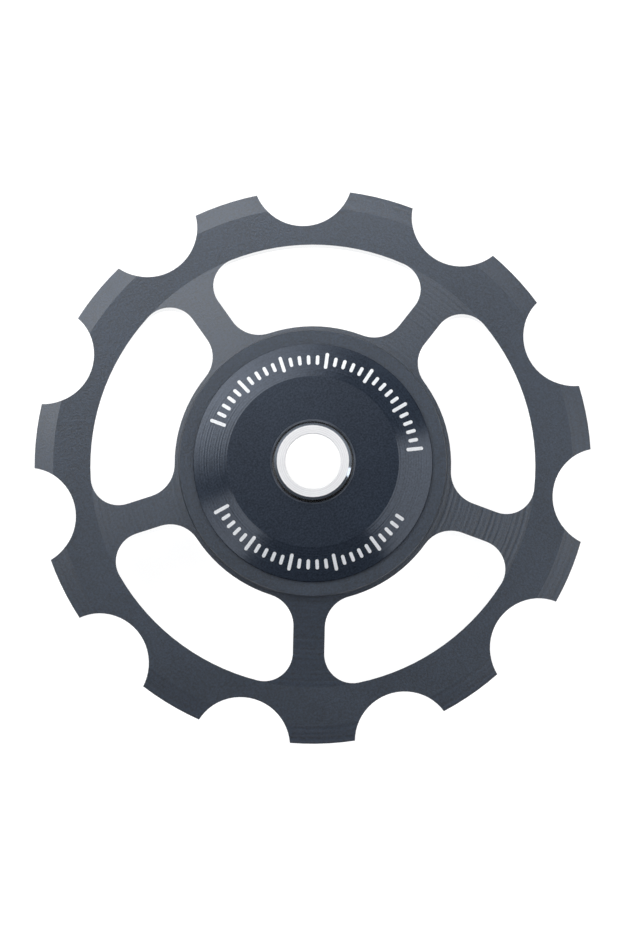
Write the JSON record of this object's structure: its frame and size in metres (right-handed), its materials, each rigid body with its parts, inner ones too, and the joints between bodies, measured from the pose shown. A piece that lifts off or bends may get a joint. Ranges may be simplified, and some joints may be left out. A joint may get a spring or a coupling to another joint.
{
  "type": "derailleur jockey wheel",
  "caption": "Spoked toothed guide wheel on a sealed ball bearing, with dust covers and an axle sleeve; it guides and tensions a bicycle chain in a rear derailleur.",
  "frame": {"origin": "centre of the axle bore, on the middle plane of the teeth", "axes": "+Z along the axle, out of the front cover; +Y along the one spoke that points at a tooth gap"},
  "size_m": [0.0432, 0.0429, 0.0088],
  "materials": {
    "anodised_wheel": "dark anodised, satin",
    "anodised_cover": "dark anodised, turned",
    "sleeve_steel": "turned, bright",
    "bearing_steel": "ground",
    "seal_rubber": "matte",
    "cage_nylon": "moulded",
    "ball_ceramic": "polished ceramic, opaque"
  },
  "bodies": {
    "axle": {"axle_sleeve": "sleeve_steel", "bearing_inner_ring": "bearing_steel"},
    "wheel": {"toothed_wheel": "anodised_wheel", "bearing_outer_ring": "bearing_steel", "front_seal": "seal_rubber", "rear_seal": "seal_rubber", "front_cover": "anodised_cover", "rear_cover": "anodised_cover"},
    "cage": {"ball_cage": "cage_nylon"},
    "ball_1": {"ball_1": "ball_ceramic"},
    "ball_2": {"ball_2": "ball_ceramic"},
    "ball_3": {"ball_3": "ball_ceramic"},
    "ball_4": {"ball_4": "ball_ceramic"},
    "ball_5": {"ball_5": "ball_ceramic"},
    "ball_6": {"ball_6": "ball_ceramic"},
    "ball_7": {"ball_7": "ball_ceramic"}
  },
  "joints": [
    {"name": "wheel_spin", "type": "hinge", "parent": "axle", "child": "wheel", "pos_m": [0, 0, 0], "axis": [0, 0, 1], "continuous": true},
    {"name": "cage_spin", "type": "hinge", "parent": "axle", "child": "cage", "pos_m": [0, 0, 0], "axis": [0, 0, 1], "continuous": true},
    {"name": "ball_1_roll", "type": "hinge", "parent": "cage", "child": "ball_1", "pos_m": [0, 0.00525, 0], "axis": [0, 0, 1], "continuous": true},
    {"name": "ball_2_roll", "type": "hinge", "parent": "cage", "child": "ball_2", "pos_m": [-0.0041, 0.00327, 0], "axis": [0, 0, 1], "continuous": true},
    {"name": "ball_3_roll", "type": "hinge", "parent": "cage", "child": "ball_3", "pos_m": [-0.00512, -0.00117, 0], "axis": [0, 0, 1], "continuous": true},
    {"name": "ball_4_roll", "type": "hinge", "parent": "cage", "child": "ball_4", "pos_m": [-0.00228, -0.00473, 0], "axis": [0, 0, 1], "continuous": true},
    {"name": "ball_5_roll", "type": "hinge", "parent": "cage", "child": "ball_5", "pos_m": [0.00228, -0.00473, 0], "axis": [0, 0, 1], "continuous": true},
    {"name": "ball_6_roll", "type": "hinge", "parent": "cage", "child": "ball_6", "pos_m": [0.00512, -0.00117, 0], "axis": [0, 0, 1], "continuous": true},
    {"name": "ball_7_roll", "type": "hinge", "parent": "cage", "child": "ball_7", "pos_m": [0.0041, 0.00327, 0], "axis": [0, 0, 1], "continuous": true}
  ],
  "couplings": [
    {"joint": "cage_spin", "follows": "wheel_spin", "ratio": 0.61338},
    {"joint": "ball_1_roll", "follows": "wheel_spin", "ratio": 2.0916},
    {"joint": "ball_2_roll", "follows": "wheel_spin", "ratio": 2.0916},
    {"joint": "ball_3_roll", "follows": "wheel_spin", "ratio": 2.0916},
    {"joint": "ball_4_roll", "follows": "wheel_spin", "ratio": 2.0916},
    {"joint": "ball_5_roll", "follows": "wheel_spin", "ratio": 2.0916},
    {"joint": "ball_6_roll", "follows": "wheel_spin", "ratio": 2.0916},
    {"joint": "ball_7_roll", "follows": "wheel_spin", "ratio": 2.0916}
  ]
}
